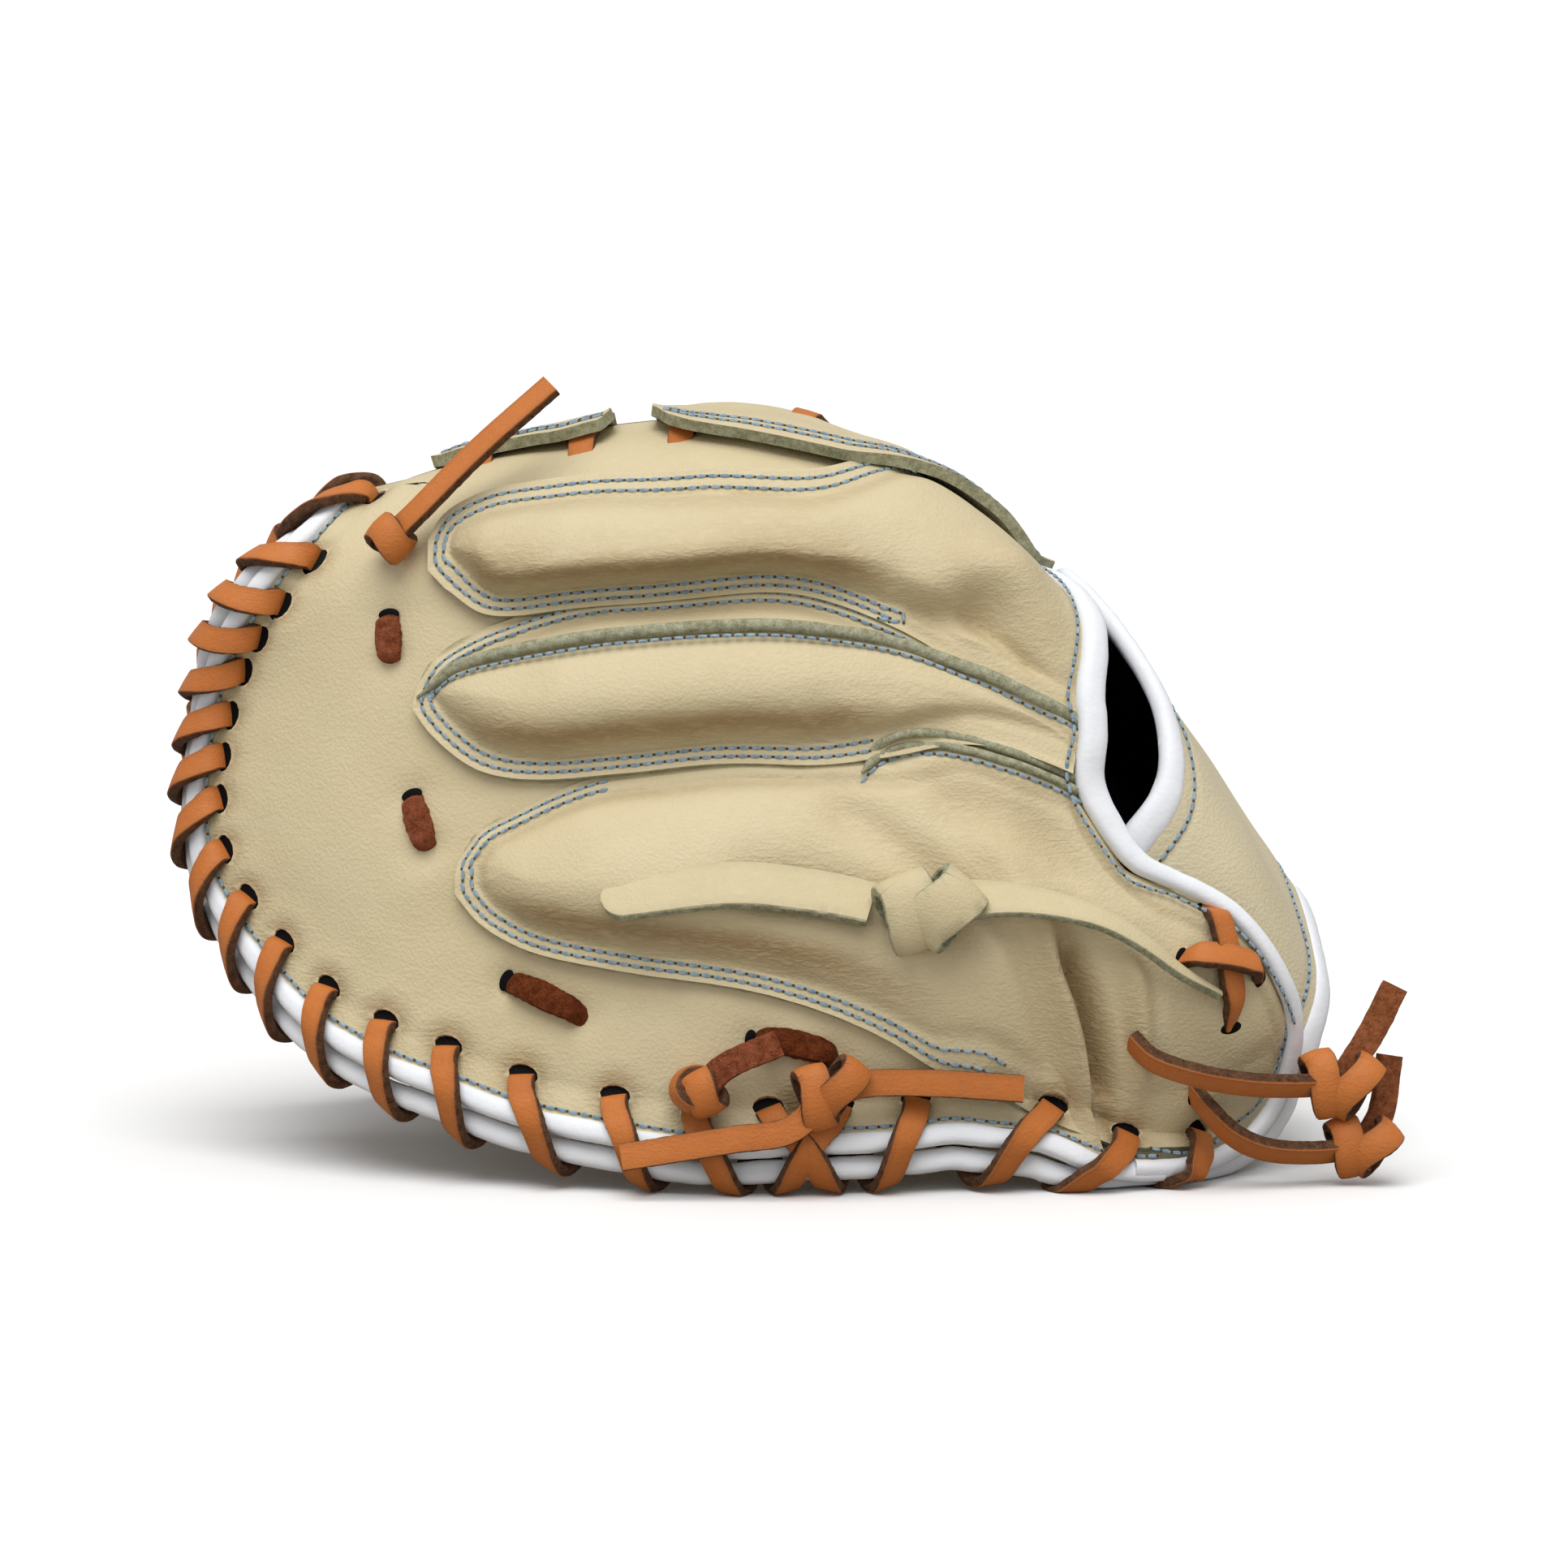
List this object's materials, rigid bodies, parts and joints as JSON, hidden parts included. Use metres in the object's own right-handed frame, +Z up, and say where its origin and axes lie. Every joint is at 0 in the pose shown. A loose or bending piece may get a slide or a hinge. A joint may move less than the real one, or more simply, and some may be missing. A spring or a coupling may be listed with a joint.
{
  "type": "softball glove",
  "caption": "Padded leather catcher's mitt for softball, standing like a tent on its laced rim, with finger stalls, wrist strap, open back and laced web.",
  "frame": {"origin": "middle of the footprint at the surface it rests on, measured without the free laces", "axes": "+X from the fingertips to the wrist, -Y is the side with the backs of the fingers, +Z up"},
  "size_m": [0.3293, 0.1999, 0.2103],
  "materials": {
    "cream_leather": "smooth cream leather with a soft grain and raw cut edges",
    "white_binding": "smooth white binding leather, slightly glossy",
    "rawhide_lace": "tan rawhide lace with dark rough edges",
    "rough_lace": "dark brown rough side of rawhide lace",
    "lining": "black matt lining leather"
  },
  "bodies": {
    "root": {"palm_pad": "cream_leather", "web_panel": "cream_leather", "back_panel": "cream_leather", "thumb_panel": "cream_leather", "index_stall": "cream_leather", "middle_stall": "cream_leather", "ring_stall": "cream_leather", "thumb_stall": "cream_leather", "wrist_strap": "cream_leather", "web_tab_tip": "cream_leather", "web_tab_base": "cream_leather", "pull_strap_end": "cream_leather", "pull_strap_knot": "cream_leather", "pull_strap_root": "cream_leather", "finger_back_binding": "white_binding", "finger_palm_binding": "white_binding", "thumb_back_binding": "white_binding", "thumb_palm_binding": "white_binding", "opening_binding": "white_binding", "thumb_edge_binding": "white_binding", "strap_upper_binding": "white_binding", "strap_lower_binding": "white_binding", "finger_rim_lace": "rawhide_lace", "thumb_rim_lace": "rawhide_lace", "heel_cross_lower": "rawhide_lace", "heel_cross_upper": "rawhide_lace", "web_lace_1": "rawhide_lace", "web_lace_2": "rawhide_lace", "web_lace_3": "rawhide_lace", "web_lace_4": "rawhide_lace", "web_knot": "rawhide_lace", "web_knot_tail": "rawhide_lace", "small_knot": "rawhide_lace", "rim_knot": "rawhide_lace", "rim_knot_tail": "rawhide_lace", "rim_knot_band": "rawhide_lace", "heel_lace_upper": "rawhide_lace", "heel_knot_upper": "rawhide_lace", "heel_tail_upper": "rawhide_lace", "heel_lace_lower": "rawhide_lace", "heel_knot_lower": "rawhide_lace", "heel_tail_lower": "rawhide_lace", "tie_lace_1": "rough_lace", "tie_lace_2": "rough_lace", "tie_lace_3": "rough_lace", "tie_lace_4": "rough_lace", "small_knot_tail": "rough_lace", "hand_lining": "lining"}
  },
  "joints": []
}
